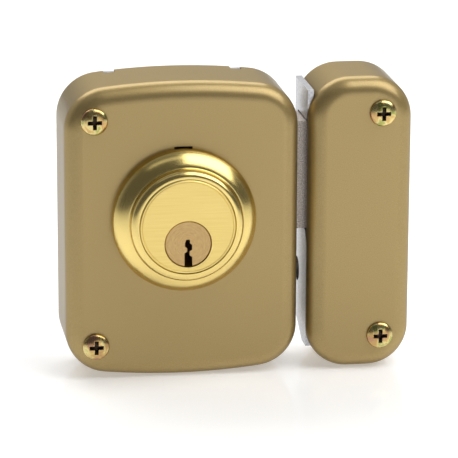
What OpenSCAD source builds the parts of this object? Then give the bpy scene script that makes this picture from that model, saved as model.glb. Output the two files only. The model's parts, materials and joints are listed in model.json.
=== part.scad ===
// Rim night latch with an inside key cylinder, and its keep, as separate pieces.
// Frame: origin on the door face at the axis of the key plug, +X towards the keep,
// +Y into the door, +Z up. The room side is at negative Y.

/* [Case] */
// Width of the case cover
case_w = 67.5; // [64:1:90]
// Height of the case cover at its middle
case_h = 87; // [84:1:110]
// How far the top and bottom edges bow outwards
case_bow = 2.9; // [1:0.1:5]
// Corner radius of both covers, seen from the room
corner_r = 12.5; // [10:0.5:14]
// Depth of the case and the keep from the door to the front
case_d = 25; // [24:0.5:34]
// Radius of the rounded front edge
front_fillet = 4.9; // [2.5:0.1:6]
// Sheet thickness of both covers
shell_t = 1.3; // [0.8:0.1:2]
// Thickness of the back plate
plate_t = 2; // [1.5:0.1:2.5]
// Height of the ring axis above the plug axis
cyl_offset = 5; // [4:0.5:6]
// Height of the ring axis above the middle of the covers
ring_above = 4; // [0:0.5:6]

/* [Cover screws] */
// Distance of each screw from the outer side edge of its cover
screw_inset = 8.3; // [8:0.1:12]
// Half the distance between the two screws of a cover
screw_half = 33.2; // [28:0.1:36]
// Radius of the screw shank
screw_r = 2; // [1.5:0.1:2.5]
// Radius of the domed screw head
head_r = 3.9; // [3:0.1:4.5]
// Height of the domed screw head
head_t = 1.9; // [1.2:0.1:2.5]

/* [Cylinder] */
// Outer radius of the brass ring
ring_r = 20.8; // [18:0.1:24]
// Height of the ring's outer wall
ring_wall = 2; // [1:0.1:3]
// How far the cylinder face stands out of the cover
face_proud = 9.8; // [8:0.1:12]
// Radius of the cylinder face
face_r = 13.7; // [12.5:0.1:14.5]
// Radius of the key plug
plug_r = 6.75; // [6:0.05:7.5]
// Radius of one pin
pin_r = 1.4; // [1.2:0.05:1.5]
// Distance between pins
pin_pitch = 3.1; // [3:0.05:3.4]

/* [Bolt] */
// How far the key draws the bolt back
throw = 15; // [10:0.5:16]
// Height of the bolt head
bolt_h = 32; // [24:0.5:34]
// Thickness of the bolt head, front to back
bolt_t = 13; // [10:0.5:14]
// Number of teeth on the hub's pinion
pinion_teeth = 16; // [14:1:18]

/* [Keep] */
// Gap between the case and the keep
keep_gap = 2.95; // [2:0.05:5]
// Width of the keep
keep_w = 30.15; // [26:0.05:36]
// Height of the keep at its middle
keep_h = 86.6; // [84:0.2:110]
// Thickness of the keep's steel plate
keep_plate_t = 1.8; // [1.5:0.1:2.5]

/* [Hidden] */
$fn = 64;

paint = "#AC9661";
brass = "#E0C060";
steel = "#A8A8AC";
zinc = "#BEBEC2";

gap = 0.3;                                  // free gap between pieces that pass each other
run_gap = 0.05;                             // radial clearance of a shaft in its bore
eps = 0.01;
cover_z = cyl_offset - ring_above;          // middle of both covers
inner_w = case_w / 2 - shell_t;             // half the width inside the case
front_y = -case_d;                          // front of both covers
inner_front = front_y + shell_t;
face_y = front_y - face_proud;              // front of the cylinder
plate_inset = shell_t + 0.25;

// Y levels of the works, counted from the door
carriage_back = plate_t + 2.5;
carriage_t = 4;
carriage_front = carriage_back + carriage_t;
bridge_back = carriage_front + 2;
bridge_t = 1.5;
bridge_front = bridge_back + bridge_t;
bush_flange_t = 0.8;
hub_front = bridge_front + bush_flange_t + 1.2;
plug_back = hub_front + 0.3;
body_back = plug_back + 1.1;
clip_t = 0.6;

// Cylinder
barrel_r = face_r - 0.5;                    // behind the head of the cylinder
head_back = front_y - 3.3;                  // shoulder that clamps the ring
ring_bore_r = face_r + 0.12;
ring_ledge_r = barrel_r + 0.12;
plug_bore_r = plug_r + run_gap;
plug_face_y = face_y + 0.25;
pin_count = 5;
first_pin = 3.6;                            // from the cylinder face
chamber_r = pin_r + run_gap;
key_pin_top = sqrt(plug_r * plug_r - pin_r * pin_r) - 0.05;
key_pin_low = 0.4;
driver_low = plug_r + 0.08;
driver_l = 4.2;
strip_w = 4;
strip_t = 1.3;
strip_z = cyl_offset + barrel_r - strip_t - 0.5;
plug_neck_r = plug_r - 1.15;
clip_groove_r = plug_neck_r - 0.6;
blade_t = 2;
blade_w = 7.6;
tail_in = 2.7;                              // how deep the tail sits in the plug
tail_l = 9;                                 // tail length outside the plug
retainer_t = 1.5;
retainer_flat = barrel_r - 1.2;

// Hub and rack
module_mm = 1;
pitch_r = pinion_teeth * module_mm / 2;
pitch_mm = 180 * module_mm * PI / 180;
pressure = 20;
addendum = 0.85;
dedendum = 1.1;
backlash = 0.1;
base_r = pitch_r * cos(pressure);
journal_r = 6;
bush_r = 8;
rack_root = pitch_r + dedendum;             // lower edge of the carriage
carriage_h = 12.9;
carriage_top = rack_root + carriage_h;

// Bolt
bolt_low = -1.2;
bolt_high = bolt_low + bolt_h;
bolt_back = carriage_back;
bolt_front = bolt_back + bolt_t;
cyl_clear = 1.5;
bolt_reveal = 0.2;                          // drawn back, the tip stands this far out
bolt_left = face_r + cyl_clear + throw;
bolt_tip = case_w / 2 + bolt_reveal + throw;
bevel_l = min(11.5, bolt_tip - bolt_left - 6);
tip_t = 2.5;
tenon_l = bolt_tip - bolt_left - bevel_l - 0.5;
rivet_r = 1.5;
rivet_x = bolt_left + rivet_r + 0.5;          // hidden behind the side of the case
carriage_left = -inner_w + throw + 1;
stud_r = 2;
stud_clip_r = stud_r + 1.5;
slot_r = stud_r + 0.08;
slot_z = (rack_root + carriage_top) / 2;
stud_left = carriage_left + slot_r + 2.6;
stud_right = bolt_left - throw - stud_clip_r - gap;

// Spring
wire_r = 0.35;
coil_r = 2.3;
bracket_t = 2;
spring_rest = 30;
spring_left = -inner_w + 1 + bracket_t;
lug_x = spring_left + spring_rest;
lug_t = 3;
lug_h = 8.5;
rod_r = 1.2;
rod_z = carriage_top + 4.6;
rod_y = -(carriage_back + carriage_front) / 2;
rod_end = lug_x + lug_t + 5;

// Guide
guide_left = 20;
guide_right = inner_w - 1;
rail_t = 3.5;
guide_front_t = 1.5;

// Bridge
post_x = 14;
post_z = -pitch_r - 1;
bridge_post_r = 3;
bridge_half = 18;
bridge_low = -pitch_r - 5;
bridge_shoulder = -5;
bridge_screw_r = 1.5;

// Door side
outer_bore_r = 9;
door_hole_r = 2.2;
door_hole_x = 14;
door_hole_half = case_h / 2 - 8.5;
tab_x = 18.5;
tab_w = 3;

// Keep
keep_left = case_w / 2 + keep_gap;
keep_right = keep_left + keep_w;
keep_mid = (keep_left + keep_right) / 2;
keep_bow = 0.6;
keep_corner = corner_r - 0.5;
flange_front = case_d - front_fillet;       // depth of the keep's side flange
flange_top = keep_h / 2 - 3.9;
flange_low = keep_h / 2 - 6;
flange_cut_y = 14;
flange_cut_z = 7;
mouth_gap = 0.5;
mouth_chamfer = 2.4;
flange_hole_r = 3.6;
flange_hole_y = 5;
flange_hole_z = -17.8;
keep_hole_x = keep_mid;
keep_hole_half = keep_h / 2 - 17;
post_r = 3;
case_screw_x = -case_w / 2 + screw_inset;
keep_screw_x = keep_right - screw_inset - 0.8;

// ---- shapes that repeat ----

// Radius of the bowed top edge of a cover
function bow_r(w, bow) = (w * w / 4 + bow * bow) / (2 * bow);

// Height of the bowed top edge at x, from the middle of the cover
function top_z(w, h, bow, x) = h / 2 - bow_r(w, bow) + sqrt(pow(bow_r(w, bow), 2) - x * x);

// One quarter of a cover's outline, from the right side round to the middle of the top
function quarter(w, h, bow, rc, inset) =
    let (R = bow_r(w, bow), low = h / 2 - R, cx = w / 2 - rc,
        cz = low + sqrt(pow(R - rc, 2) - cx * cx), turn = atan2(cz - low, cx))
    concat(
        [for (i = [0 : 6]) let (a = turn * i / 6)
            [cx + (rc - inset) * cos(a), cz + (rc - inset) * sin(a)]],
        [for (i = [1 : 5]) let (a = turn + (90 - turn) * i / 5)
            [(R - inset) * cos(a), low + (R - inset) * sin(a)]]);

function flip_x(p) = [for (i = [len(p) - 2 : -1 : 0]) [-p[i][0], p[i][1]]];
function flip_z(p) = [for (i = [len(p) - 1 : -1 : 0]) [p[i][0], -p[i][1]]];

// Whole outline of a cover, moved inwards by inset
function outline(w, h, bow, rc, inset) =
    let (q = quarter(w, h, bow, rc, inset), top = concat(q, flip_x(q))) concat(top, flip_z(top));

// A flat shape drawn in X and Z, from y0 towards the room
module slab(y0, t) {
    translate([0, y0, 0]) rotate([90, 0, 0]) linear_extrude(t) children();
}

// A cylinder along Y, from y0 towards the room
module bar(x, z, y0, l, r) {
    translate([x, y0, z]) rotate([90, 0, 0]) cylinder(h = l, r = r);
}

// A box from two corners
module box(low, high) {
    translate(low) cube(high - low);
}

// The outer form of a cover, or its hollow when inset is the sheet thickness
module cover_form(w, h, bow, rc, inset, x) {
    round_r = front_fillet - inset;
    translate([x, 0, cover_z]) hull() {
        slab(inset > 0 ? 1 : 0, case_d - front_fillet + (inset > 0 ? 1 : 0))
            polygon(outline(w, h, bow, rc, inset));
        for (i = [1 : 6])
            slab(-(case_d - front_fillet), round_r * sin(15 * i))
                polygon(outline(w, h, bow, rc, inset + round_r * (1 - cos(15 * i))));
    }
}

// A domed cross-recess screw, head on the cover front
module cover_screw(x, z, l) {
    difference() {
        union() {
            bar(x, z, front_y + l, l, screw_r);
            translate([x, front_y, z]) rotate([90, 0, 0]) rotate_extrude() dome(head_r, head_t);
        }
        for (a = [0, 90])
            translate([x, front_y - head_t - eps, z]) rotate([0, a, 0])
                box([-head_r * 0.5, 0, -0.45], [head_r * 0.5, 1.2, 0.45]);
    }
}

// Half section of a domed head
module dome(r, t) {
    polygon(concat([[0, 0], [r, 0], [r, 0.35]],
        [for (a = [15 : 15 : 90]) [r * cos(a), 0.35 + (t - 0.35) * sin(a)]]));
}

// An open spring ring round a shaft along Y
module clip(x, z, y0, r_in, r_out) {
    difference() {
        bar(x, z, y0, clip_t, r_out);
        bar(x, z, y0 + eps, clip_t + 2 * eps, r_in);
        box([x - r_in * 0.6, y0 - clip_t - eps, z - r_out - 1], [x + r_in * 0.6, y0 + eps, z]);
    }
}

// Half the angle that a tooth takes at radius r
function inv(a) = tan(a) * 180 / PI - a;
function tooth_half(r) = 90 / pinion_teeth - backlash / pitch_r * 90 / PI
    + inv(pressure) - (r > base_r ? inv(acos(base_r / r)) : 0);

// Pinion outline with a tooth space at the top
module pinion_shape() {
    low_r = pitch_r - dedendum;
    radii = concat([low_r], [for (i = [0 : 5]) base_r + (pitch_r + addendum - base_r) * i / 5]);
    last = len(radii) - 1;
    polygon([for (n = [0 : pinion_teeth - 1])
        let (c = 90 + 360 / pinion_teeth * (n + 0.5))
        for (k = [0 : 2 * last + 1])
            let (r = k <= last ? radii[k] : radii[2 * last + 1 - k], s = k <= last ? -1 : 1)
            [r * cos(c + s * tooth_half(r)), r * sin(c + s * tooth_half(r))]]);
}

// One rack tooth centred on x, pointing down
module rack_tooth(x) {
    half = pitch_mm / 4 - backlash / 2;
    tip = half - addendum * tan(pressure);
    root = half + dedendum * tan(pressure);
    polygon([[x - root, rack_root + eps], [x - tip, pitch_r - addendum],
        [x + tip, pitch_r - addendum], [x + root, rack_root + eps]]);
}

// A round-wire coil along Z
module coil(r, wire, l, turns, steps, sides) {
    n = turns * steps;
    points = [for (i = [0 : n]) for (k = [0 : sides - 1])
        let (a = 360 * i / steps, b = 360 * k / sides, rr = r + wire * cos(b))
        [rr * cos(a), rr * sin(a), wire + (l - 2 * wire) * i / n + wire * sin(b)]];
    sidewalls = [for (i = [0 : n - 1]) for (k = [0 : sides - 1])
        let (j = (k + 1) % sides)
        [i * sides + k, i * sides + j, (i + 1) * sides + j, (i + 1) * sides + k]];
    ends = [[for (k = [sides - 1 : -1 : 0]) k], [for (k = [0 : sides - 1]) n * sides + k]];
    polyhedron(points = points, faces = concat(sidewalls, ends), convexity = 10);
}

function pin_y(i) = face_y + first_pin + pin_pitch * i;
function pin_extra(i) = [0.5, 1.1, 0, 0.8, 0.3][i];

// ---- case ----

module case_cover() {
    color(paint) difference() {
        cover_form(case_w, case_h, case_bow, corner_r, 0, 0);
        cover_form(case_w, case_h, case_bow, corner_r, shell_t, 0);
        bar(0, cyl_offset, inner_front + 1, shell_t + 2, barrel_r + 0.15);
        for (s = [-1, 1])
            bar(case_screw_x, cover_z + s * screw_half, inner_front + 1, shell_t + 2, screw_r + 0.2);
        // way out for the bolt, open at the back edge
        box([inner_w - 1, -bolt_front - gap, bolt_low - gap], [case_w / 2 + 1, 1, bolt_high + gap]);
        // slot for the ring's tab, and notches for the plate's tabs
        box([-2.6, front_y - 1, cyl_offset + ring_r - 1.1], [2.6, inner_front + 1, cyl_offset + ring_r + 0.5]);
        for (sx = [-1, 1], sz = [-1, 1])
            translate([sx * tab_x, 0, cover_z + sz * (case_h / 2 - 3)])
                box([-tab_w / 2 - 0.1, -plate_t - 0.1, -4], [tab_w / 2 + 0.1, 1, 4]);
    }
}

module back_plate() {
    tab_top = top_z(case_w, case_h, case_bow, tab_x + tab_w / 2) - 0.15;
    color(steel) difference() {
        union() {
            translate([0, 0, cover_z]) slab(0, plate_t)
                polygon(outline(case_w, case_h, case_bow, corner_r, plate_inset));
            for (sx = [-1, 1], sz = [-1, 1])
                translate([sx * tab_x, 0, cover_z + sz * (tab_top - 4)])
                    box([-tab_w / 2, -plate_t, -4], [tab_w / 2, 0, 4]);
        }
        bar(0, 0, 1, plate_t + 2, outer_bore_r);
        for (sx = [-1, 1], sz = [-1, 1])
            bar(sx * door_hole_x, cover_z + sz * door_hole_half, 1, plate_t + 2, door_hole_r);
        for (z = guide_rivet_z) bar(guide_rivet_x, z, 1, plate_t + 2, rivet_r + run_gap);
    }
}
guide_rivet_x = (guide_left + guide_right) / 2;
guide_rivet_z = [bolt_low - gap - rail_t / 2, bolt_high + gap + rail_t / 2];

// Two internally threaded posts that carry the cover screws
module posts(x, y0, r) {
    for (s = [-1, 1])
        difference() {
            bar(x, cover_z + s * screw_half, y0, -inner_front + y0 - 0.12, r);
            bar(x, cover_z + s * screw_half, -case_d / 2 + 2, case_d, screw_r + run_gap);
        }
}

module spacer_posts() {
    color(steel) posts(case_screw_x, -plate_t, post_r);
}

module cover_screws() {
    color(brass) for (s = [-1, 1]) cover_screw(case_screw_x, cover_z + s * screw_half, case_d / 2);
}

// ---- ring and cylinder ----

module escutcheon_ring() {
    valley_r = face_r + 2.9;
    band_low = ring_wall + 0.3;
    band_high = face_proud - 1.9;
    band = [for (i = [0 : 8]) let (a = 10 + 70 * i / 8)
        [valley_r + 0.3 + (ring_r - 0.5 - valley_r - 0.3) * (cos(a) - cos(80)) / (cos(10) - cos(80)),
            band_low + (band_high - band_low) * (sin(a) - sin(10)) / (sin(80) - sin(10))]];
    lip = [for (i = [0 : 6]) let (a = 15 * i)
        [ring_bore_r + 0.5 + (valley_r - 0.35 - ring_bore_r - 0.5) * cos(a),
            band_high - 0.3 + (face_proud - 0.1 - band_high + 0.3) * sin(a)]];
    color(brass) {
        translate([0, front_y, cyl_offset]) rotate([90, 0, 0]) rotate_extrude($fn = 128)
            polygon(concat(
                [[ring_ledge_r, 0], [ring_r, 0], [ring_r, ring_wall], [ring_r - 0.2, ring_wall + 0.2]],
                band, [[valley_r, band_high - 0.35]], lip,
                [[ring_bore_r, face_proud - 0.1], [ring_bore_r, front_y - head_back],
                    [ring_ledge_r, front_y - head_back]]));
        box([-2.4, front_y - 0.5, cyl_offset + ring_r - 1], [2.4, inner_front + 1, cyl_offset + ring_r - 0.3]);
    }
}

module cylinder_body() {
    color(brass) difference() {
        union() {
            bar(0, cyl_offset, head_back, head_back - face_y, face_r);
            bar(0, cyl_offset, -body_back, -head_back + eps - body_back, barrel_r);
        }
        bar(0, 0, 0, 2 * case_d, plug_bore_r);
        for (i = [0 : pin_count - 1])
            translate([0, pin_y(i), plug_r - 1]) cylinder(h = strip_z - plug_r + 1.5, r = chamber_r);
        box([-strip_w / 2, pin_y(0) - 2, strip_z],
            [strip_w / 2, pin_y(pin_count - 1) + 2, cyl_offset + face_r + 1]);
        for (s = [-1, 1])
            translate([s * (retainer_flat + 2), 0, cyl_offset])
                box([-2, inner_front, -face_r], [2, inner_front + retainer_t + 0.2, face_r]);
    }
}

// The keyway's warded outline, open at the lower edge of the plug
module keyway_shape() {
    low = -plug_r - 1;
    polygon([[-0.55, 1.3], [0.55, 1.3], [0.55, 0.2], [1.15, -0.2], [1.15, -1.7], [0.45, -2.1],
        [0.45, -3.3], [1.2, -3.8], [1.2, low], [-1.05, low], [-1.05, -2.7], [-0.3, -2.2],
        [-0.3, -1.2], [-0.9, -0.8], [-0.9, 0.3]]);
}

module cylinder_plug() {
    color("#C4A878") difference() {
        union() {
            bar(0, 0, -body_back - eps, -plug_face_y - body_back - eps, plug_r);
            bar(0, 0, -plug_back, body_back - plug_back + 1, plug_neck_r);
        }
        slab(-body_back - 2, case_d + face_proud) keyway_shape();
        for (i = [0 : pin_count - 1])
            translate([0, pin_y(i), key_pin_low - 0.1]) cylinder(h = 2 * plug_r, r = chamber_r);
        // groove for the circlip, slot for the tail and hole for its pin
        difference() {
            bar(0, 0, -plug_back - 0.15, clip_t + 0.1, plug_neck_r + 1);
            bar(0, 0, -plug_back, 3, clip_groove_r);
        }
        box([-blade_t / 2 - run_gap, -plug_back - tail_in, -blade_w / 2 - run_gap],
            [blade_t / 2 + run_gap, 0, blade_w / 2 + run_gap]);
        translate([-plug_r, tail_pin_y, 0]) rotate([0, 90, 0]) cylinder(h = 2 * plug_r, r = tail_pin_r + 0.02);
    }
}
tail_pin_r = 0.6;
tail_pin_y = -plug_back - tail_in + 1;

module key_pins() {
    color(brass) for (i = [0 : pin_count - 1])
        translate([0, pin_y(i), key_pin_low + pin_extra(i)])
            cylinder(h = key_pin_top - key_pin_low - pin_extra(i), r = pin_r);
}

module driver_pins() {
    color(steel) for (i = [0 : pin_count - 1])
        translate([0, pin_y(i), driver_low]) cylinder(h = driver_l, r = pin_r);
}

module pin_springs() {
    low = driver_low + driver_l;
    color(zinc) for (i = [0 : pin_count - 1])
        translate([0, pin_y(i), low + 0.02])
            coil(pin_r - 0.35, 0.18, strip_z - low - 0.04, 4, 10, 5);
}

module chamber_strip() {
    color(brass) box([-strip_w / 2 + 0.03, pin_y(0) - 1.95, strip_z],
        [strip_w / 2 - 0.03, pin_y(pin_count - 1) + 1.95, strip_z + strip_t]);
}

// Horseshoe plate that grips the flats of the cylinder behind the cover
module cylinder_retainer() {
    half = retainer_flat + 0.05;
    color(steel) difference() {
        box([-barrel_r - 4, inner_front + 0.05, cyl_offset - barrel_r - 3],
            [barrel_r + 4, inner_front + 0.05 + retainer_t, cyl_offset + barrel_r + 3]);
        box([-half, inner_front - 1, cyl_offset - barrel_r - 4],
            [half, inner_front + retainer_t + 1, cyl_offset + barrel_r + 0.1]);
    }
}

module plug_circlip() {
    color(steel) clip(0, 0, -plug_back - 0.2, clip_groove_r + 0.03, plug_bore_r + 1.1);
}

// Flat tail that carries the plug's turn into the hub
module plug_tail() {
    color(zinc) difference() {
        box([-blade_t / 2, -plug_back - tail_in, -blade_w / 2], [blade_t / 2, -plug_back + tail_l, blade_w / 2]);
        translate([-plug_r, tail_pin_y, 0]) rotate([0, 90, 0]) cylinder(h = 2 * plug_r, r = tail_pin_r + 0.02);
    }
}

module tail_pin() {
    half = sqrt(plug_r * plug_r - tail_pin_r * tail_pin_r) - 0.2;
    color(steel) translate([-half, tail_pin_y, 0]) rotate([0, 90, 0]) cylinder(h = 2 * half, r = tail_pin_r);
}

// ---- hub ----

module tail_hub() {
    color(steel) difference() {
        union() {
            slab(-carriage_back, carriage_t) pinion_shape();
            bar(0, 0, -carriage_front + eps, hub_front - carriage_front + eps, journal_r);
        }
        // bow-tie slot: either tail can turn the hub and leave the other at rest
        for (a = [-22, 0, 22])
            rotate([0, a, 0])
                box([-blade_t / 2 - 0.2, -hub_front - 1, -blade_w / 2 - 0.3], [blade_t / 2 + 0.2, 0, blade_w / 2 + 0.3]);
        difference() {
            bar(0, 0, -hub_front + 0.3 + clip_t + 0.1, clip_t + 0.1, journal_r + 1);
            bar(0, 0, 0, hub_front + 1, journal_r - 0.5);
        }
    }
}

module hub_bush() {
    color(brass) difference() {
        union() {
            bar(0, 0, -carriage_front - 0.2, bridge_front - carriage_front - 0.2, bush_r);
            bar(0, 0, -bridge_front, bush_flange_t, bush_r + 1.5);
        }
        bar(0, 0, 0, hub_front, journal_r + run_gap);
    }
}

module hub_circlip() {
    color(zinc) clip(0, 0, -hub_front + 0.35 + clip_t, journal_r - 0.47, journal_r + 1.6);
}

module hub_bridge() {
    color(zinc) difference() {
        union() {
            bar(0, 0, -bridge_back, bridge_t, bush_r + 3);
            box([-bridge_half, -bridge_front, bridge_low], [bridge_half, -bridge_back, bridge_shoulder]);
        }
        bar(0, 0, 0, bridge_front + 1, bush_r + 0.02);
        for (s = [-1, 1]) bar(s * post_x, post_z, 0, bridge_front + 1, bridge_screw_r + 0.1);
    }
}

module bridge_posts() {
    color(steel) for (s = [-1, 1]) difference() {
        bar(s * post_x, post_z, -plate_t, bridge_back - plate_t, bridge_post_r);
        bar(s * post_x, post_z, -plate_t - 1, bridge_back, bridge_screw_r + run_gap);
    }
}

module bridge_screws() {
    color(brass) for (s = [-1, 1]) difference() {
        union() {
            bar(s * post_x, post_z, -plate_t - 3, bridge_front - plate_t - 3, bridge_screw_r);
            bar(s * post_x, post_z, -bridge_front, 1.4, 2.7);
        }
        box([s * post_x - 3, -bridge_front - 2, post_z - 0.4], [s * post_x + 3, -bridge_front - 0.7, post_z + 0.4]);
    }
}

// ---- bolt ----

module rivet_holes(r) {
    for (z = [slot_z - 3.2, slot_z + 3.2]) bar(rivet_x, z, 0, 2 * case_d, r);
}

module latch_bolt() {
    color("#9A9292") difference() {
        translate([0, 0, bolt_low]) linear_extrude(bolt_h)
            polygon([[bolt_left, -bolt_front], [bolt_tip, -bolt_front], [bolt_tip, -bolt_front + tip_t],
                [bolt_tip - bevel_l, -bolt_back], [bolt_left, -bolt_back]]);
        box([bolt_left - 1, -carriage_front, rack_root - 0.05],
            [bolt_left + tenon_l + 0.05, 0, carriage_top + 0.05]);
        rivet_holes(rivet_r + 0.03);
    }
}

module bolt_carriage() {
    color(zinc) difference() {
        union() {
            slab(-carriage_back, carriage_t) union() {
                polygon([[carriage_left, rack_root], [bolt_left + tenon_l, rack_root],
                    [bolt_left + tenon_l, carriage_top], [lug_x + lug_t, carriage_top],
                    [lug_x + lug_t, carriage_top + lug_h], [lug_x, carriage_top + lug_h],
                    [lug_x, carriage_top], [carriage_left, carriage_top]]);
                for (i = [-1 : ceil((throw + 3) / pitch_mm)]) rack_tooth(i * pitch_mm);
            }
        }
        for (x = [stud_left, stud_right]) {
            box([x, -carriage_front - 1, slot_z - slot_r], [x + throw, 0, slot_z + slot_r]);
            for (e = [0, throw]) bar(x + e, slot_z, 0, carriage_front + 1, slot_r);
        }
        rivet_holes(rivet_r + 0.03);
        translate([lug_x - 1, rod_y, rod_z]) rotate([0, 90, 0]) cylinder(h = lug_t + 2, r = rod_r + 0.1);
    }
}

module bolt_rivets() {
    color(steel) for (z = [slot_z - 3.2, slot_z + 3.2])
        bar(rivet_x, z, -bolt_back, bolt_t, rivet_r);
}

module bolt_guide() {
    low = bolt_low - gap;
    high = bolt_high + gap;
    front = -bolt_front - gap;
    color(zinc) difference() {
        box([guide_left, front - guide_front_t, low - rail_t], [guide_right, -plate_t, high + rail_t]);
        box([guide_left - 1, front, low], [guide_right + 1, 0, high]);
        for (z = guide_rivet_z) bar(guide_rivet_x, z, 0, plate_t + 5, rivet_r + run_gap);
    }
}

module guide_rivets() {
    color(steel) for (z = guide_rivet_z) bar(guide_rivet_x, z, 0, plate_t + 5, rivet_r);
}

module guide_studs() {
    color(steel) for (x = [stud_left, stud_right]) difference() {
        bar(x, slot_z, -plate_t, carriage_front + 1.7 - plate_t, stud_r);
        difference() {
            bar(x, slot_z, -carriage_front - 0.4, clip_t + 0.1, stud_r + 1);
            bar(x, slot_z, 0, case_d, stud_r - 0.5);
        }
    }
}

module stud_clips() {
    color(zinc) for (x = [stud_left, stud_right])
        clip(x, slot_z, -carriage_front - 0.45, stud_r - 0.47, stud_clip_r);
}

// ---- spring ----

module bolt_spring() {
    color(zinc) translate([spring_left, rod_y, rod_z]) rotate([0, 90, 0])
        coil(coil_r, wire_r, spring_rest, 12, 16, 6);
}

module spring_rod() {
    color(steel) translate([spring_left - bracket_t, rod_y, rod_z]) rotate([0, 90, 0])
        cylinder(h = rod_end - spring_left + bracket_t, r = rod_r);
}

module spring_bracket() {
    color(zinc) difference() {
        union() {
            box([spring_left - bracket_t, rod_y - 3.5, carriage_top + 0.5],
                [spring_left, -plate_t, carriage_top + lug_h + 0.5]);
            box([spring_left - bracket_t, -plate_t - 1.2, carriage_top + 0.5],
                [spring_left + 8, -plate_t, carriage_top + lug_h + 0.5]);
        }
        translate([spring_left - bracket_t - 1, rod_y, rod_z]) rotate([0, 90, 0])
            cylinder(h = bracket_t + 2, r = rod_r + 0.02);
    }
}

// ---- keep ----

module keep_cover() {
    color(paint) difference() {
        cover_form(keep_w, keep_h, keep_bow, keep_corner, 0, keep_mid);
        cover_form(keep_w, keep_h, keep_bow, keep_corner, shell_t, keep_mid);
        // the steel flange takes the place of the left wall
        box([keep_left - 1, -flange_front, cover_z - keep_h],
            [keep_left + keep_plate_t + 0.1, 1, cover_z + keep_h]);
        for (s = [-1, 1])
            bar(keep_screw_x, cover_z + s * screw_half, inner_front + 1, shell_t + 2, screw_r + 0.2);
    }
}

module keep_plate() {
    low = cover_z - flange_low;
    high = cover_z + flange_top;
    color(zinc) difference() {
        union() {
            translate([keep_left, 0, 0]) rotate([90, 0, 90]) linear_extrude(keep_plate_t)
                polygon([[0, low + flange_cut_z], [0, high], [-flange_front, high],
                    [-flange_front, low], [-flange_cut_y, low]]);
            intersection() {
                translate([keep_mid, 0, cover_z]) slab(0, keep_plate_t)
                    polygon(outline(keep_w, keep_h, keep_bow, keep_corner, plate_inset));
                box([keep_left, -keep_plate_t, low + flange_cut_z], [keep_right, 0, high]);
            }
        }
        // mouth for the bolt, open to the front, with chamfered corners
        translate([keep_left - 1, 0, 0]) rotate([90, 0, 90]) linear_extrude(keep_plate_t + 2)
            polygon([[-bolt_back + mouth_gap, bolt_low - mouth_gap], [-bolt_back + mouth_gap, bolt_high + mouth_gap],
                [-flange_front + mouth_chamfer, bolt_high + mouth_gap],
                [-flange_front - 1, bolt_high + mouth_gap + 2 * mouth_chamfer],
                [-flange_front - 1, bolt_low - mouth_gap - 2 * mouth_chamfer],
                [-flange_front + mouth_chamfer, bolt_low - mouth_gap]]);
        translate([keep_left - 1, -flange_hole_y, cover_z + flange_hole_z]) rotate([0, 90, 0])
            cylinder(h = keep_plate_t + 2, r = flange_hole_r);
        for (s = [-1, 1]) bar(keep_hole_x, cover_z + s * keep_hole_half, 1, keep_plate_t + 2, door_hole_r);
    }
}

module keep_posts() {
    color(steel) posts(keep_screw_x, -keep_plate_t, post_r);
}

module keep_screws() {
    color(brass) for (s = [-1, 1]) cover_screw(keep_screw_x, cover_z + s * screw_half, case_d / 2);
}

case_cover();
back_plate();
spacer_posts();
cover_screws();
escutcheon_ring();
cylinder_body();
cylinder_plug();
key_pins();
driver_pins();
pin_springs();
chamber_strip();
cylinder_retainer();
plug_circlip();
plug_tail();
tail_pin();
tail_hub();
hub_bush();
hub_circlip();
hub_bridge();
bridge_posts();
bridge_screws();
latch_bolt();
bolt_carriage();
bolt_rivets();
bolt_guide();
guide_rivets();
guide_studs();
stud_clips();
bolt_spring();
spring_rod();
spring_bracket();
keep_cover();
keep_plate();
keep_posts();
keep_screws();
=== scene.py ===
import json
import math

import bpy
from mathutils import Matrix, Quaternion, Vector


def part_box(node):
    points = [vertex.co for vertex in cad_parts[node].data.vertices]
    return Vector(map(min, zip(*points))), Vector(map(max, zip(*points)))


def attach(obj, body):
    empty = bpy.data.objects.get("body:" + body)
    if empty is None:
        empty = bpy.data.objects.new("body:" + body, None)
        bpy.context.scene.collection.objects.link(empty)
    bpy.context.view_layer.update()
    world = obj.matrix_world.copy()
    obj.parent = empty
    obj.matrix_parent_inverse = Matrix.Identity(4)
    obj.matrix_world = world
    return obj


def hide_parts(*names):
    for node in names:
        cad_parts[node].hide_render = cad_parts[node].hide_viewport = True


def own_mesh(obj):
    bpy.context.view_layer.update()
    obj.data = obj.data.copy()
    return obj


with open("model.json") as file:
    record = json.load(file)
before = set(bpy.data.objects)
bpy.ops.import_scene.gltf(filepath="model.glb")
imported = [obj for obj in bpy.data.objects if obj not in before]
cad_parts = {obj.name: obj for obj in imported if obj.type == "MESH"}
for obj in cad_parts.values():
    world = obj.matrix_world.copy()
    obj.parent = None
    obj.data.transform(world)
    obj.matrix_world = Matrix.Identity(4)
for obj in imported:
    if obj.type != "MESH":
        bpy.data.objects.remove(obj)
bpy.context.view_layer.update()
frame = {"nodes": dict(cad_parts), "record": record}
mm = 0.001


# small helpers for work by hand

def clearPick():
    if bpy.context.mode != "OBJECT":
        bpy.ops.object.mode_set(mode="OBJECT")
    bpy.ops.object.select_all(action="DESELECT")


def pickOnly(piece):
    clearPick()
    piece.select_set(True)
    bpy.context.view_layer.objects.active = piece


def editAll():
    bpy.ops.object.mode_set(mode="EDIT")
    bpy.ops.mesh.select_all(action="SELECT")


def startPoint(name, place):
    # a plane merged to one point, which the outline is drawn from
    clearPick()
    bpy.ops.mesh.primitive_plane_add(size=mm, location=(0, 0, 0))
    piece = bpy.context.active_object
    piece.name = name
    editAll()
    bpy.ops.mesh.merge(type="CENTER")
    bpy.ops.transform.translate(value=place)
    return piece


def drawBy(x, y, z):
    bpy.ops.mesh.extrude_vertices_move(TRANSFORM_OT_translate={"value": (x, y, z)})


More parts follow.
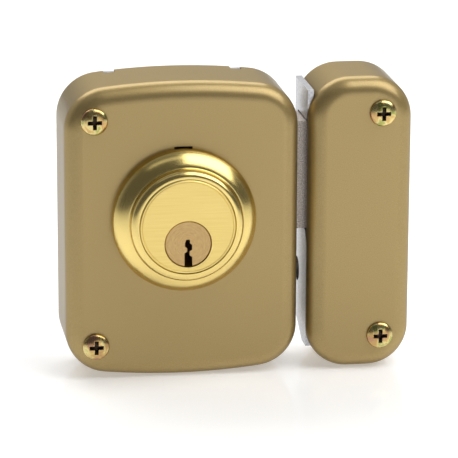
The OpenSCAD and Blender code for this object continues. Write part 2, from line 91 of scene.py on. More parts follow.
def drawLine(path):
    # path holds (radius, depth) corners in mm; radius runs along +X and depth towards the room
    for (r0, d0), (r1, d1) in zip(path, path[1:]):
        drawBy((r1 - r0) * mm, -(d1 - d0) * mm, 0)


def turn(steps, degrees, center, axis):
    # right-handed, while the operator itself turns the other way
    bpy.ops.mesh.spin(steps=steps, angle=math.radians(degrees), center=center, axis=[-a for a in axis])


def finishMesh(piece, smooth=30):
    # doubles closed, faces outwards, smooth between the sharp edges
    pickOnly(piece)
    editAll()
    bpy.ops.mesh.remove_doubles(threshold=0.004 * mm)
    bpy.ops.mesh.normals_make_consistent(inside=False)
    bpy.ops.object.mode_set(mode="OBJECT")
    bpy.ops.object.shade_smooth_by_angle(angle=math.radians(smooth))


def applyModifier(piece, kind, name, settings):
    pickOnly(piece)
    m = piece.modifiers.new(name, kind)
    for key, value in settings.items():
        setattr(m, key, value)
    bpy.ops.object.modifier_apply(modifier=name)


def cutWith(piece, tools):
    for tool in tools:
        applyModifier(piece, "BOOLEAN", "cut", {"object": tool, "operation": "DIFFERENCE", "solver": "EXACT"})
        bpy.data.objects.remove(tool, do_unlink=True)


def cutterBox(low, high):
    clearPick()
    middle = [(a + b) / 2 for a, b in zip(low, high)]
    bpy.ops.mesh.primitive_cube_add(size=1, location=middle, scale=[b - a for a, b in zip(low, high)])
    bpy.ops.object.transform_apply(location=True, rotation=True, scale=True)
    return bpy.context.active_object


def cutterRound(x, z, y0, y1, radius, sides=64):
    clearPick()
    bpy.ops.mesh.primitive_cylinder_add(vertices=sides, radius=radius, depth=abs(y1 - y0),
                                        location=(x, (y0 + y1) / 2, z), rotation=(math.pi / 2, 0, 0))
    bpy.ops.object.transform_apply(location=True, rotation=True, scale=True)
    return bpy.context.active_object


def lathe(name, path, centre, steps=160):
    # path in (radius, depth) mm, turned round the line along Y through centre
    r, d = path[0]
    piece = startPoint(name, (centre[0] + r * mm, centre[1] - d * mm, centre[2]))
    drawLine(path)
    bpy.ops.mesh.select_all(action="SELECT")
    turn(steps, 360, centre, (0, 1, 0))
    return piece


def roundPath(centre, radius, start, stop, steps):
    # corners along an arc, angles in degrees from the radius direction towards the room
    return [(centre[0] + radius[0] * math.cos(math.radians(start + (stop - start) * i / steps)),
             centre[1] + radius[1] * math.sin(math.radians(start + (stop - start) * i / steps)))
            for i in range(steps + 1)]


# materials

def toLinear(hexColour):
    parts = [int(hexColour[i:i + 2], 16) / 255 for i in (1, 3, 5)]
    return [p / 12.92 if p <= 0.04045 else ((p + 0.055) / 1.055) ** 2.4 for p in parts] + [1]


def newMaterial(name, base, metallic, roughness, **more):
    mat = bpy.data.materials.new(name)
    mat.use_nodes = True
    tree = mat.node_tree
    shader = tree.nodes["Principled BSDF"]
    shader.inputs["Base Color"].default_value = toLinear(base)
    shader.inputs["Metallic"].default_value = metallic
    shader.inputs["Roughness"].default_value = roughness
    for key, value in more.items():
        shader.inputs[key.replace("_", " ")].default_value = value
    return mat, tree, shader


def addNode(tree, kind, settings=None, inputs=None, links=None):
    # settings are the node's own values, inputs are socket values, links come from other sockets
    node = tree.nodes.new(kind)
    for key, value in (settings or {}).items():
        setattr(node, key, value)
    for key, value in (inputs or {}).items():
        node.inputs[key].default_value = value
    for key, source in (links or {}).items():
        tree.links.new(source, node.inputs[key])
    return node


def setRamp(node, stops):
    # stops are (place, colour) pairs
    while len(node.color_ramp.elements) < len(stops):
        node.color_ramp.elements.new(0.5)
    for element, (place, colour) in zip(node.color_ramp.elements, stops):
        element.position = place
        element.color = colour
    return node


def tintBy(tree, shader, pattern, stops):
    tone = setRamp(addNode(tree, "ShaderNodeValToRGB", links={"Fac": pattern}), stops)
    tree.links.new(tone.outputs["Color"], shader.inputs["Base Color"])


def roughenBy(tree, shader, pattern, low, high):
    rough = addNode(tree, "ShaderNodeMapRange", inputs={"To Min": low, "To Max": high},
                    links={"Value": pattern})
    tree.links.new(rough.outputs["Result"], shader.inputs["Roughness"])


def raiseBy(tree, shader, pattern, strength, distance):
    bump = addNode(tree, "ShaderNodeBump", inputs={"Strength": strength, "Distance": distance},
                   links={"Height": pattern})
    tree.links.new(bump.outputs["Normal"], shader.inputs["Normal"])


perMetre = 1000.0                            # pattern sizes are given in mm


def satinGoldPaint():
    # bronze-gold metallic lacquer on pressed steel: soft flake grain, faint orange peel, clear top
    look = {"base": "#B09A68", "deep": "#A58E5D", "metal": 0.7, "rough": 0.38,
            "flakeMm": 0.25, "peelMm": 2.2, "coat": 0.3, "coatRough": 0.12, "edge": "#8E8C8A"}
    mat, tree, shader = newMaterial("satinGoldPaint", look["base"], look["metal"], look["rough"],
                                    Coat_Weight=look["coat"], Coat_Roughness=look["coatRough"],
                                    Specular_Tint=toLinear(look["edge"]))
    place = addNode(tree, "ShaderNodeTexCoord").outputs["Object"]
    flakes = addNode(tree, "ShaderNodeTexNoise",
                     inputs={"Scale": perMetre / look["flakeMm"], "Detail": 2.0}, links={"Vector": place})
    tintBy(tree, shader, flakes.outputs["Fac"],
           [(0.35, toLinear(look["deep"])), (0.65, toLinear(look["base"]))])
    roughenBy(tree, shader, flakes.outputs["Fac"], look["rough"] - 0.05, look["rough"] + 0.05)
    peel = addNode(tree, "ShaderNodeTexNoise",
                   inputs={"Scale": perMetre / look["peelMm"], "Detail": 1.0}, links={"Vector": place})
    grain = addNode(tree, "ShaderNodeMath", {"operation": "MULTIPLY_ADD"}, {1: 0.35},
                    {0: flakes.outputs["Fac"], 2: peel.outputs["Fac"]})
    raiseBy(tree, shader, grain.outputs[0], 0.10, 0.05 * mm)
    return mat


def ringPattern(tree, centre, squeeze):
    # coordinates about a piece's own axis along Y, stretched so that noise becomes turning marks
    place = addNode(tree, "ShaderNodeTexCoord").outputs["Object"]
    moved = addNode(tree, "ShaderNodeMapping", inputs={"Location": [-c for c in centre]},
                    links={"Vector": place})
    split = addNode(tree, "ShaderNodeSeparateXYZ", links={"Vector": moved.outputs["Vector"]})
    angle = addNode(tree, "ShaderNodeMath", {"operation": "ARCTAN2"},
                    links={0: split.outputs["Z"], 1: split.outputs["X"]})
    flat = addNode(tree, "ShaderNodeCombineXYZ", links={"X": split.outputs["X"], "Y": split.outputs["Z"]})
    radius = addNode(tree, "ShaderNodeVectorMath", {"operation": "LENGTH"}, links={0: flat.outputs["Vector"]})
    along = addNode(tree, "ShaderNodeMath", {"operation": "MULTIPLY"}, {1: squeeze},
                    {0: angle.outputs[0]})
    return addNode(tree, "ShaderNodeCombineXYZ",
                   links={"X": along.outputs[0], "Y": radius.outputs["Value"], "Z": split.outputs["Y"]})


def polishedBrass(centre):
    # spun and polished brass sheet: mirror-like with faint turning marks
    look = {"base": "#E4CC82", "rough": 0.2, "lineMm": 0.18}
    mat, tree, shader = newMaterial("polishedBrass", look["base"], 1.0, look["rough"])
    flow = ringPattern(tree, centre, 0.0004)
    lines = addNode(tree, "ShaderNodeTexNoise",
                    inputs={"Scale": perMetre / look["lineMm"], "Detail": 3.0},
                    links={"Vector": flow.outputs["Vector"]})
    roughenBy(tree, shader, lines.outputs["Fac"], look["rough"] - 0.04, look["rough"] + 0.08)
    raiseBy(tree, shader, lines.outputs["Fac"], 0.12, 0.02 * mm)
    return mat


def brushedBrass():
    # cast brass with a level brushed face: fine straight lines across
    look = {"base": "#EBD388", "dark": "#E0C574", "rough": 0.36, "lineMm": 0.12, "longMm": 14.0}
    mat, tree, shader = newMaterial("brushedBrass", look["base"], 1.0, look["rough"], Anisotropic=0.5)
    place = addNode(tree, "ShaderNodeTexCoord").outputs["Object"]
    flow = addNode(tree, "ShaderNodeMapping",
                   inputs={"Scale": (1 / look["longMm"], 1 / look["lineMm"], 1 / look["lineMm"])},
                   links={"Vector": place})
    lines = addNode(tree, "ShaderNodeTexNoise", inputs={"Scale": perMetre, "Detail": 4.0},
                    links={"Vector": flow.outputs["Vector"]})
    tintBy(tree, shader, lines.outputs["Fac"],
           [(0.3, toLinear(look["dark"])), (0.7, toLinear(look["base"]))])
    roughenBy(tree, shader, lines.outputs["Fac"], look["rough"] - 0.06, look["rough"] + 0.08)
    raiseBy(tree, shader, lines.outputs["Fac"], 0.18, 0.02 * mm)
    return mat


def turnedPlugBrass(centre):
    # brass bar, faced on a lathe and a little tarnished: pinkish rings
    look = {"base": "#CDAF7C", "dark": "#B4935F", "rough": 0.4, "lineMm": 0.22}
    mat, tree, shader = newMaterial("turnedPlugBrass", look["base"], 1.0, look["rough"])
    flow = ringPattern(tree, centre, 0.0006)
    lines = addNode(tree, "ShaderNodeTexNoise",
                    inputs={"Scale": perMetre / look["lineMm"], "Detail": 4.0},
                    links={"Vector": flow.outputs["Vector"]})
    tintBy(tree, shader, lines.outputs["Fac"],
           [(0.3, toLinear(look["dark"])), (0.72, toLinear(look["base"]))])
    raiseBy(tree, shader, lines.outputs["Fac"], 0.35, 0.03 * mm)
    return mat


def yellowZinc():
    # yellow passivated zinc on steel: pink, gold and green clouds under a thin clear film
    look = {"gold": "#C8A868", "pink": "#B98C72", "green": "#A8A860", "pale": "#D8C88C",
            "rough": 0.2, "cloudMm": 3.2}
    mat, tree, shader = newMaterial("yellowZinc", look["gold"], 1.0, look["rough"])
    place = addNode(tree, "ShaderNodeTexCoord").outputs["Object"]
    clouds = addNode(tree, "ShaderNodeTexNoise",
                     inputs={"Scale": perMetre / look["cloudMm"], "Detail": 2.0, "Distortion": 0.6},
                     links={"Vector": place})
    tintBy(tree, shader, clouds.outputs["Fac"],
           [(0.32, toLinear(look["pink"])), (0.46, toLinear(look["gold"])),
            (0.56, toLinear(look["pale"])), (0.66, toLinear(look["green"]))])
    fine = addNode(tree, "ShaderNodeTexNoise", inputs={"Scale": perMetre / 0.3, "Detail": 3.0},
                   links={"Vector": place})
    roughenBy(tree, shader, fine.outputs["Fac"], look["rough"] - 0.05, look["rough"] + 0.12)
    raiseBy(tree, shader, fine.outputs["Fac"], 0.2, 0.03 * mm)
    return mat


def grainyMetal(name, look):
    # plain steels: rolled, drawn, turned or sintered, told apart by grain size and depth
    mat, tree, shader = newMaterial(name, look["base"], 1.0, look["rough"])
    place = addNode(tree, "ShaderNodeTexCoord").outputs["Object"]
    flow = addNode(tree, "ShaderNodeMapping", inputs={"Scale": [1 / s for s in look["grainMm"]]},
                   links={"Vector": place})
    grain = addNode(tree, "ShaderNodeTexNoise", inputs={"Scale": perMetre, "Detail": look["detail"]},
                    links={"Vector": flow.outputs["Vector"]})
    tintBy(tree, shader, grain.outputs["Fac"],
           [(0.35, toLinear(look["dark"])), (0.62, toLinear(look["base"]))])
    roughenBy(tree, shader, grain.outputs["Fac"], look["rough"] + 0.12, look["rough"] - 0.06)
    raiseBy(tree, shader, grain.outputs["Fac"], look["depth"], 0.05 * mm)
    return mat


# bright zinc plate: rolled sheet with a fine frosted crystal
brightZinc = {"base": "#C4C4C6", "dark": "#ABABB0", "rough": 0.3, "grainMm": (0.6, 0.6, 0.6),
              "detail": 3.0, "depth": 0.12}
# sintered steel: pressed powder, matt and speckled
sinteredSteel = {"base": "#D6CDC6", "dark": "#A0968F", "rough": 0.5, "grainMm": (0.35, 0.35, 0.35),
                 "detail": 4.0, "depth": 0.5}
# turned or sawn bar and plate, lightly oiled
turnedSteel = {"base": "#B4B4B8", "dark": "#8E8E93", "rough": 0.36, "grainMm": (3.0, 3.0, 0.25),
               "detail": 3.0, "depth": 0.2}
# drawn spring wire, darker
springSteel = {"base": "#8C8C92", "dark": "#6C6C72", "rough": 0.32, "grainMm": (0.4, 0.4, 0.4),
               "detail": 2.0, "depth": 0.15}
# plain turned brass of bushes and pins
bearingBrass = {"base": "#D6B868", "dark": "#BF9C4C", "rough": 0.32, "grainMm": (1.5, 1.5, 0.2),
                "detail": 3.0, "depth": 0.2}


def dress(piece, mat):
    piece.data.materials.clear()
    piece.data.materials.append(mat)


def house(piece, body, nodes, mat):
    # hands a finished piece to the frame in place of its plain nodes
    dress(piece, mat)
    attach(piece, body)
    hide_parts(*nodes)


# places taken from the frame
caseLow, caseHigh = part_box("case_cover")
keepLow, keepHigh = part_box("keep_cover")
ringLow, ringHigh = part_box("escutcheon_ring")
bodyLow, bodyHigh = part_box("cylinder_body")
plugLow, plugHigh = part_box("cylinder_plug")
boltLow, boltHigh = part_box("latch_bolt")
plateLow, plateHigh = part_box("keep_plate")
middleZ = (caseLow.z + caseHigh.z) / 2
frontY = caseLow.y
ringCentre = (0, frontY, (bodyLow.z + bodyHigh.z) / 2)
plugCentre = (0, plugLow.y, 0)
print("frame loaded")


# the two covers
coverShape = {"fillet": 4.9 * mm, "sheet": 1.3 * mm, "filletSteps": 12, "cornerSteps": 18,
              "bowSteps": 20, "lip": 0.25 * mm}


def bowedShell(name, low, high, bow, corner):
    # one quarter of the wall's section is swept round bow, corner and side, then mirrored twice
    width, height, depth = high.x - low.x, high.z - low.z, high.y - low.y
    fillet = coverShape["fillet"]
    bowRadius = (width ** 2 / 4 + bow ** 2) / (2 * bow)
    bowCentre = height / 2 - bowRadius
    cornerX = width / 2 - corner
    cornerZ = bowCentre + math.sqrt((bowRadius - corner) ** 2 - cornerX ** 2)
    cornerTurn = math.degrees(math.atan2(cornerZ - bowCentre, cornerX))
    piece = startPoint(name, (0, 0, height / 2))
    for part in (0.25, 0.5, 0.25):
        drawBy(0, -(depth - fillet) * part, 0)
    turn(coverShape["filletSteps"], 90, (0, -(depth - fillet), height / 2 - fillet), (1, 0, 0))
    drawBy(0, 0, -coverShape["lip"])
    bpy.ops.mesh.select_all(action="SELECT")
    turn(coverShape["bowSteps"], 90 - cornerTurn, (0, 0, bowCentre), (0, 1, 0))
    turn(coverShape["cornerSteps"], cornerTurn, (cornerX, 0, cornerZ), (0, 1, 0))
    for part in (0.2, 0.8):
        bpy.ops.mesh.extrude_region_move(TRANSFORM_OT_translate={"value": (0, 0, -cornerZ * part)})
    bpy.ops.object.mode_set(mode="OBJECT")
    applyModifier(piece, "MIRROR", "halves", {"use_axis": (True, False, True), "merge_threshold": 0.01 * mm})
    # close the front inside its edge loop, with a narrow inner border that keeps it flat
    pickOnly(piece)
    bpy.ops.object.mode_set(mode="EDIT")
    bpy.ops.mesh.select_all(action="DESELECT")
    bpy.ops.object.mode_set(mode="OBJECT")
    for edge in piece.data.edges:
        a, b = [piece.data.vertices[i].co for i in edge.vertices]
        ends = fillet + coverShape["lip"]
        inFront = max(a.y, b.y) < -depth + 0.01 * mm
        edge.select = inFront and not onPath(a, width, height, ends, corner, bowRadius) \
            and not onPath(b, width, height, ends, corner, bowRadius)
    return piece


def onPath(p, width, height, ends, corner, bowRadius):
    # true for points that lie outside the last loop of the front edge
    bowCentre = height / 2 - bowRadius
    cornerX = width / 2 - corner
    cornerZ = bowCentre + math.sqrt((bowRadius - corner) ** 2 - cornerX ** 2)
    x, z = abs(p.x), abs(p.z)
    limit = 0.05 * mm
    if z <= cornerZ:
        return x > width / 2 - ends + limit
    angle = math.atan2(z - cornerZ, x - cornerX) if x > cornerX else math.pi
    tangent = math.atan2(cornerZ - bowCentre, cornerX)
    if angle < tangent:
        return math.hypot(x - cornerX, z - cornerZ) > corner - ends + limit
    return math.hypot(x, z - bowCentre) > bowRadius - ends + limit


def closeFront(piece):
    bpy.ops.object.mode_set(mode="EDIT")
    bpy.ops.mesh.edge_face_add()
    bpy.ops.mesh.inset(thickness=1.2 * mm, depth=0)
    bpy.ops.mesh.inset(thickness=3.0 * mm, depth=0)


def makeCover(name, low, high, bow, corner):
    piece = bowedShell(name, low, high, bow, corner)
    closeFront(piece)
    finishMesh(piece)
    editAll()
    bpy.ops.transform.translate(value=((low.x + high.x) / 2, high.y, (low.z + high.z) / 2))
    bpy.ops.object.mode_set(mode="OBJECT")
    applyModifier(piece, "SOLIDIFY", "sheet",
                  {"thickness": coverShape["sheet"], "offset": -1, "use_even_offset": True})
    return piece


def caseCover():
    size = {"bow": 2.9 * mm, "corner": 12.5 * mm, "screwHole": 2.2 * mm, "cylinderHole": 13.35 * mm,
            "tabHalf": 2.6 * mm, "notchHalf": 1.6 * mm, "notchDeep": 3.2 * mm, "notchAt": 18.5 * mm,
            "gap": 0.3 * mm}
    piece = makeCover("caseCover", caseLow, caseHigh, size["bow"], size["corner"])
    screwLow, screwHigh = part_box("cover_screws")
    tabLow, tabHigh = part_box("back_plate")
    screwX = (screwLow.x + screwHigh.x) / 2
    half = (screwHigh.x - screwLow.x) / 2
    sheet = coverShape["sheet"]
    tools = [cutterRound(0, middleZ, frontY - 2 * mm, frontY + 4 * mm, size["cylinderHole"], 128)]
    for z in (screwLow.z + half, screwHigh.z - half):
        tools.append(cutterRound(screwX, z, frontY - 2 * mm, frontY + 4 * mm, size["screwHole"]))
    tools.append(cutterBox((caseHigh.x - sheet - 1 * mm, boltLow.y - size["gap"], boltLow.z - size["gap"]),
                           (caseHigh.x + 1 * mm, 1 * mm, boltHigh.z + size["gap"])))
    ringTop = ringHigh.z
    tools.append(cutterBox((-size["tabHalf"], frontY - 1 * mm, ringTop - 1.1 * mm),
                           (size["tabHalf"], frontY + 3 * mm, ringTop + 0.4 * mm)))
    for side in (-1, 1):
        for z in (caseLow.z, caseHigh.z):
            x = side * size["notchAt"]
            tools.append(cutterBox((x - size["notchHalf"], -size["notchDeep"], z - 4 * mm),
                                   (x + size["notchHalf"], 1 * mm, z + 4 * mm)))
    cutWith(piece, tools)
    softEdges(piece, 0.18 * mm)
    return piece


def softEdges(piece, width, degrees=35, segments=2):
    # narrow rounds on every sharp edge, as paint and tumbling leave them
    applyModifier(piece, "BEVEL", "round", {"width": width, "segments": segments, "limit_method": "ANGLE",
                                            "angle_limit": math.radians(degrees),
                                            "use_clamp_overlap": True, "miter_outer": "MITER_ARC"})
    pickOnly(piece)
    bpy.ops.object.shade_smooth_by_angle(angle=math.radians(50))
    applyModifier(piece, "WEIGHTED_NORMAL", "flat", {"keep_sharp": True, "weight": 70})


def keepCover():
    size = {"bow": 0.6 * mm, "corner": 12.0 * mm, "screwHole": 2.2 * mm}
    piece = makeCover("keepCover", keepLow, keepHigh, size["bow"], size["corner"])
    screwLow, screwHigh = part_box("keep_screws")
    half = (screwHigh.x - screwLow.x) / 2
    flangeRight = plateLow.x + 1.9 * mm
    tools = [cutterBox((keepLow.x - 1 * mm, plateLow.y, keepLow.z - 1 * mm),
                       (flangeRight, 1 * mm, keepHigh.z + 1 * mm))]
    for z in (screwLow.z + half, screwHigh.z - half):
        tools.append(cutterRound((screwLow.x + screwHigh.x) / 2, z, frontY - 2 * mm, frontY + 4 * mm,
                                 size["screwHole"]))
    cutWith(piece, tools)
    softEdges(piece, 0.18 * mm)
    return piece


paint = satinGoldPaint()
house(caseCover(), "case", ["case_cover"], paint)
house(keepCover(), "keep", ["keep_cover"], paint)
print("covers made")


# ring and cylinder

def escutcheonRing():
    # bell ring: wall, sharp rim, domed band, groove, raised lip
    size = {"outer": 20.8, "wall": 3.0, "proud": 9.7, "bore": 13.82, "ledge": 13.32, "shoulder": 3.3}
    band = roundPath((12.5, -1.77), (9.37, 9.37), 32, 62, 16)
    valley = [(16.72, 6.56), (16.55, 6.6), (16.42, 6.72)]
    lip = roundPath((14.3, 7.15), (2.05, size["proud"] - 7.15), -2, 90, 16)
    path = ([(size["ledge"], 0), (size["outer"] - 0.15, 0), (size["outer"], 0.15),
             (size["outer"], size["wall"] - 0.9), (size["outer"] - 0.22, size["wall"])]
            + band + valley
            + lip + [(size["bore"] + 0.12, size["proud"]), (size["bore"], size["proud"] - 0.15),
                     (size["bore"], size["shoulder"]), (size["ledge"], size["shoulder"]), (size["ledge"], 0)])
    piece = lathe("escutcheonRing", path, ringCentre, 192)
    bpy.ops.object.mode_set(mode="OBJECT")
    # the locating tab that enters the cover's slot
    clearPick()
    tab = cutterBox((-2.4 * mm, frontY - 0.5 * mm, ringHigh.z - 1 * mm),
                    (2.4 * mm, frontY + 2.3 * mm, ringHigh.z - 0.3 * mm))
    pickOnly(piece)
    tab.select_set(True)
    bpy.ops.object.join()
    finishMesh(piece, 25)
    return piece


def cylinderBody():
    # the brushed face carries one fine engraved circle inside its edge
    size = {"face": 13.7, "barrel": 13.2, "engraved": 13.05, "line": 0.1, "proud": 9.8, "bevel": 0.22,
            "plugBore": 6.8, "flatFrom": 12, "flatTo": 15, "flatHalf": 14, "shoulder": 3.3}
    back = (bodyHigh.y - frontY) / mm
    path = [(0, -back), (size["barrel"], -back), (size["barrel"], size["shoulder"]),
            (size["face"], size["shoulder"]),
            (size["face"], size["proud"] - size["bevel"]), (size["face"] - size["bevel"], size["proud"])]
    path += [(size["engraved"] + size["line"], size["proud"]),
             (size["engraved"], size["proud"] - size["line"]),
             (size["engraved"] - size["line"], size["proud"]), (0, size["proud"])]
    piece = lathe("cylinderBody", path, ringCentre, 160)
    bpy.ops.object.mode_set(mode="OBJECT")
    finishMesh(piece, 20)
    pinLow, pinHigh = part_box("driver_pins")
    stripLow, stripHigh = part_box("chamber_strip")
    springLow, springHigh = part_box("pin_springs")
    tools = [cutterRound(0, 0, bodyLow.y - 2 * mm, bodyHigh.y + 2 * mm, size["plugBore"] * mm, 96)]
    tools.append(cutterBox((-2 * mm, stripLow.y - 0.05 * mm, stripLow.z),
                           (2 * mm, stripHigh.y + 0.05 * mm, bodyHigh.z + 2 * mm)))
    pinR = (pinHigh.x - pinLow.x) / 2
    for i in range(pinCount):
        y = pinLow.y + pinR + (pinHigh.y - pinLow.y - 2 * pinR) * i / (pinCount - 1)
        tools.append(chamber(y, 5.5 * mm, stripLow.z + 0.3 * mm, pinR + 0.05 * mm))
    for side in (-1, 1):
        x0, x1 = sorted((side * size["flatFrom"] * mm, side * size["flatTo"] * mm))
        tools.append(cutterBox((x0, frontY + 1.3 * mm, middleZ - size["flatHalf"] * mm),
                               (x1, frontY + 3.0 * mm, middleZ + size["flatHalf"] * mm)))
    cutWith(piece, tools)
    softEdges(piece, 0.12 * mm, 50, 2)
    return piece


def chamber(y, z0, z1, radius):
    clearPick()
    bpy.ops.mesh.primitive_cylinder_add(vertices=32, radius=radius, depth=z1 - z0,
                                        location=(0, y, (z0 + z1) / 2))
    bpy.ops.object.transform_apply(location=True, rotation=True, scale=True)
    return bpy.context.active_object


pinCount = 5
keywayCorners = [(-0.55, 1.3), (0.55, 1.3), (0.55, 0.2), (1.15, -0.2), (1.15, -1.7), (0.45, -2.1),
                 (0.45, -3.3), (1.2, -3.8), (1.2, -7.75), (-1.05, -7.75), (-1.05, -2.7), (-0.3, -2.2),
                 (-0.3, -1.2), (-0.9, -0.8), (-0.9, 0.3)]


def keywayCutter(yBack):
    # the warded outline drawn point by point, filled and drawn out along the plug
    front = plugLow.y - 1 * mm
    x, z = keywayCorners[0]
    piece = startPoint("keyway", (x * mm, front, z * mm))
    for (x0, z0), (x1, z1) in zip(keywayCorners, keywayCorners[1:]):
        drawBy((x1 - x0) * mm, 0, (z1 - z0) * mm)
    bpy.ops.mesh.select_all(action="SELECT")
    bpy.ops.mesh.edge_face_add()
    bpy.ops.mesh.extrude_region_move(TRANSFORM_OT_translate={"value": (0, yBack - front, 0)})
    bpy.ops.mesh.select_all(action="SELECT")
    bpy.ops.mesh.normals_make_consistent(inside=False)
    bpy.ops.object.mode_set(mode="OBJECT")
    return piece


def cylinderPlug():
    size = {"plug": 6.75, "neck": 5.6, "groove": 5.0, "bevel": 0.3}
    long = (plugHigh.y - plugLow.y) / mm
    shoulder = long - 1.1
    path = [(0, 0), (size["plug"] - size["bevel"], 0), (size["plug"], -size["bevel"]),
            (size["plug"], -shoulder), (size["neck"], -shoulder), (size["groove"], -shoulder), (size["groove"], -long + 0.2),
            (size["neck"], -long + 0.15), (size["neck"], -long), (0, -long)]
    piece = lathe("cylinderPlug", path, plugCentre, 96)
    bpy.ops.object.mode_set(mode="OBJECT")
    finishMesh(piece, 25)
    pinLow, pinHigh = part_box("key_pins")
    tailLow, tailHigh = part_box("plug_tail")
    pinR = (pinHigh.x - pinLow.x) / 2
    tools = [keywayCutter(plugHigh.y - 3.1 * mm)]
    for i in range(pinCount):
        y = pinLow.y + pinR + (pinHigh.y - pinLow.y - 2 * pinR) * i / (pinCount - 1)
        tools.append(chamber(y, 0.3 * mm, 9 * mm, pinR + 0.05 * mm))
    tools.append(cutterBox((tailLow.x - 0.05 * mm, tailLow.y, tailLow.z - 0.05 * mm),
                           (tailHigh.x + 0.05 * mm, plugHigh.y + 1 * mm, tailHigh.z + 0.05 * mm)))
    cutWith(piece, tools)
    softEdges(piece, 0.1 * mm, 50, 2)
    return piece


house(escutcheonRing(), "case", ["escutcheon_ring"], polishedBrass(ringCentre))
brassFace = brushedBrass()
house(cylinderBody(), "case", ["cylinder_body"], brassFace)
house(cylinderPlug(), "plug", ["cylinder_plug"], turnedPlugBrass(plugCentre))
print("ring and cylinder made")


# cover screws, all of one size
screwShape = {"head": 3.9, "tall": 1.9, "shank": 2.0, "recess": 2.35, "wing": 0.58, "deep": 1.9}


def panScrew(name, x, z, length):
    # domed head with a cross recess, thread as fine ridges on the shank
    s = screwShape
    dome = roundPath((0, 0.35), (s["head"], s["tall"] - 0.35), 4, 90, 12)
    thread = []
    d = -length / mm
    while d < -1.5:
        thread += [(s["shank"] - 0.02, d), (s["shank"] - 0.32, d + 0.35)]
        d += 0.7
    neck = [(s["shank"] - 0.02, -1.2), (s["shank"] - 0.02, 0), (s["head"] - 0.15, 0), (s["head"], 0.12)]
    path = [(0, -length / mm)] + thread + neck + dome
    piece = lathe(name, path, (x, frontY, z), 64)
    bpy.ops.object.mode_set(mode="OBJECT")
    finishMesh(piece, 35)
    # the second slot holds the painted shade of the cross recess
    piece.data.materials.append(zincYellow)
    piece.data.materials.append(recessPaintedShade)
    cutWith(piece, [crossCutter(x, z, side) for side in (0, 1)])
    softEdges(piece, 0.07 * mm, 45, 2)
    return piece


def crossCutter(x, z, side):
    # one bar of the cross, narrowing to its floor as a driver's tip does
    s = screwShape
    top = frontY - s["tall"] * mm - 0.3 * mm
    clearPick()
    bpy.ops.mesh.primitive_cube_add(size=1, location=(x, top + (s["deep"] + 0.3) * mm / 2, z),
                                    scale=(2 * s["recess"] * mm, (s["deep"] + 0.3) * mm, 2 * s["wing"] * mm))
    bpy.ops.object.transform_apply(location=True, rotation=True, scale=True)
    piece = bpy.context.active_object
    for v in piece.data.vertices:
        v.select = v.co.y > top + 0.5 * mm
    for f in piece.data.polygons:
        f.select = all(piece.data.vertices[i].select for i in f.vertices)
    for e in piece.data.edges:
        e.select = all(piece.data.vertices[i].select for i in e.vertices)
    bpy.ops.object.mode_set(mode="EDIT")
    bpy.ops.transform.resize(value=(0.45, 1, 0.8), center_override=(x, top, z))
    bpy.ops.mesh.select_all(action="SELECT")
    bpy.ops.transform.rotate(value=math.radians(90 * side), orient_axis="Y", center_override=(x, top, z))
    bpy.ops.object.mode_set(mode="OBJECT")
    piece.data.materials.append(zincYellow)
    piece.data.materials.append(recessPaintedShade)
    # every face of the cross cutter takes the dark colour, so the recess walls carry painted shade
    for face in piece.data.polygons:
        face.material_index = 1
    return piece


def screwPair(node, body, names):
    low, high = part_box(node)
    half = (high.x - low.x) / 2
    x = (low.x + high.x) / 2
    made = [panScrew(name, x, z, high.y - frontY) for name, z in zip(names, (high.z - half, low.z + half))]
    for piece in made:
        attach(piece, body)
        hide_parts(node)


zincYellow = yellowZinc()
# painted shade: the same plating inside the cross, coloured dark to stand for the shade that falls in the
# recess
recessPaintedShade = newMaterial("paintedRecessShade", "#4A3A28", 0.6, 0.55)[0]
screwPair("cover_screws", "case", ("caseScrewTop", "caseScrewLow"))
screwPair("keep_screws", "keep", ("keepScrewTop", "keepScrewLow"))
print("screws made")


# bolt and keep plate: copies of their own nodes with rounded edges

def roundedCopy(name, node, width):
    source = frame["nodes"][node]
    clearPick()
    piece = bpy.data.objects.new(name, source.data.copy())
    bpy.context.scene.collection.objects.link(piece)
    finishMesh(piece, 30)
    pickOnly(piece)
    bpy.ops.object.mode_set(mode="EDIT")
    bpy.ops.mesh.select_all(action="SELECT")
    bpy.ops.mesh.dissolve_limited(angle_limit=math.radians(1))
    bpy.ops.object.mode_set(mode="OBJECT")
    softEdges(piece, width, 40, 3)
    return piece


sintered = grainyMetal("sinteredSteel", sinteredSteel)
plated = grainyMetal("brightZinc", brightZinc)
house(roundedCopy("latchBolt", "latch_bolt", 0.5 * mm), "latch", ["latch_bolt"], sintered)
house(roundedCopy("keepPlate", "keep_plate", 0.2 * mm), "keep", ["keep_plate"], plated)
print("bolt and plate made")


# the works keep their own shapes and get their metals; only the bolt spring is a copy
turned = grainyMetal("turnedSteel", turnedSteel)
spring = grainyMetal("springSteel", springSteel)
bearing = grainyMetal("bearingBrass", bearingBrass)


def boltSpring():
    # a copy of the bolt spring node with its own mesh, attached to the case
    source = frame["nodes"]["bolt_spring"]
    piece = bpy.data.objects.new("boltSpring", source.data.copy())
    bpy.context.scene.collection.objects.link(piece)
    finishMesh(piece, 60)
    house(piece, "case", ["bolt_spring"], spring)
    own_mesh(piece)


boltSpring()
slotMetals = {"bright_zinc": plated, "sintered_steel": sintered, "turned_steel": turned,
              "spring_steel": spring, "bearing_brass": bearing, "brushed_brass": brassFace,
              "yellow_zinc": zincYellow}
for entry in frame["record"]["subparts"]:
    mat = slotMetals.get(entry["material_slot"])
    if mat:
        dress(frame["nodes"][entry["node"]], mat)
print("works dressed")


# stage, light and camera

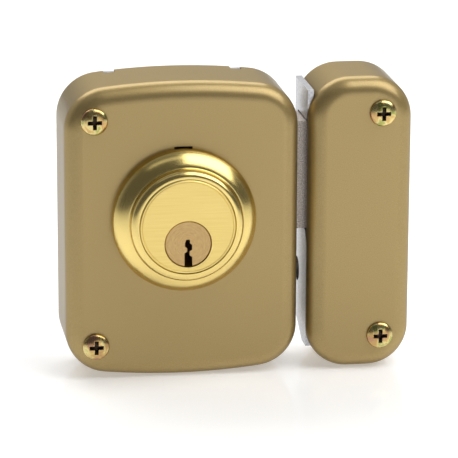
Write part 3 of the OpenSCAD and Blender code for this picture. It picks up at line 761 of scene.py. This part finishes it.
def studio():
    # lamps: place, direction of the long side, size in metres, power
    light = {"behind": 0.58, "front": 0.11, "floor": 0.33}
    lamps = (("keyLight", (0.52, -0.26, 0.79), (0.81, 0.18, -0.43), (0.95, 0.72), 6.8),
             ("topLight", (-0.20, -0.28, 1.1), (1, 0, 0), (1.0, 0.2), 0.4),
             ("backLight", (-0.1, 0.85, 0.95), (1, 0, 0), (1.3, 0.8), 9.0),
             ("frontFill", (0.55, -1.6, 0.0), (1, 0, 0), (0.9, 0.7), 1.9))
    clearPick()
    bpy.ops.mesh.primitive_plane_add(size=6, location=(0, 0, caseLow.z))
    floor = bpy.context.active_object
    floor.name = "floor"
    mat, tree, shader = newMaterial("glossWhiteFloor", "#FFFFFF", 0.0, 0.12)
    shader.inputs["Emission Color"].default_value = (1, 1, 1, 1)
    shader.inputs["Emission Strength"].default_value = light["floor"]
    floor.data.materials.append(mat)

    # pale paper behind, a dimmer room in front
    world = bpy.data.worlds.new("studio")
    bpy.context.scene.world = world
    world.use_nodes = True
    tree = world.node_tree
    backdrop = tree.nodes["Background"]
    ways = addNode(tree, "ShaderNodeSeparateXYZ",
                   links={"Vector": addNode(tree, "ShaderNodeTexCoord").outputs["Generated"]})
    room = addNode(tree, "ShaderNodeMapRange",
                   inputs={"From Min": -0.05, "From Max": 0.45, "To Min": light["front"],
                           "To Max": light["behind"]}, links={"Value": ways.outputs["Y"]})
    seen = addNode(tree, "ShaderNodeLightPath")
    bright = addNode(tree, "ShaderNodeMapRange", inputs={"To Max": 1.0},
                     links={"Value": seen.outputs["Is Camera Ray"], "To Min": room.outputs["Result"]})
    tree.links.new(bright.outputs["Result"], backdrop.inputs["Strength"])
    backdrop.inputs["Color"].default_value = (1, 1, 1, 1)

    for name, place, across, size, power in lamps:
        lamp = bpy.data.lights.new(name, "AREA")
        lamp.shape = "RECTANGLE"
        lamp.size, lamp.size_y = size
        lamp.energy = power
        holder = bpy.data.objects.new(name, lamp)
        bpy.context.scene.collection.objects.link(holder)
        holder.location = place
        back = Vector(place).normalized()
        side = (Vector(across) - back * back.dot(Vector(across))).normalized()
        holder.rotation_mode = "QUATERNION"
        holder.rotation_quaternion = Matrix((side, back.cross(side), back)).transposed().to_quaternion()


def camera():
    # long lens, a little to the left and above
    look = {"lens": 240.9, "distance": 0.88, "left": 8.87, "above": 15.11, "roll": 0.21,
            "aim": (13.2 * mm, frontY, middleZ + 0.4 * mm)}
    lens = bpy.data.cameras.new("camera")
    lens.lens = look["lens"]
    lens.sensor_width = 36
    lens.clip_start = 0.05
    lens.clip_end = 20
    eye = bpy.data.objects.new("camera", lens)
    bpy.context.scene.collection.objects.link(eye)
    a, e = math.radians(look["left"]), math.radians(look["above"])
    ahead = Vector((math.sin(a) * math.cos(e), math.cos(a) * math.cos(e), -math.sin(e)))
    eye.location = Vector(look["aim"]) - ahead * look["distance"]
    eye.rotation_mode = "QUATERNION"
    roll = Quaternion((0, 0, 1), math.radians(look["roll"]))
    eye.rotation_quaternion = ahead.to_track_quat("-Z", "Y") @ roll
    bpy.context.scene.camera = eye


studio()
camera()
bpy.context.scene.view_settings.view_transform = "Standard"
print("studio ready")
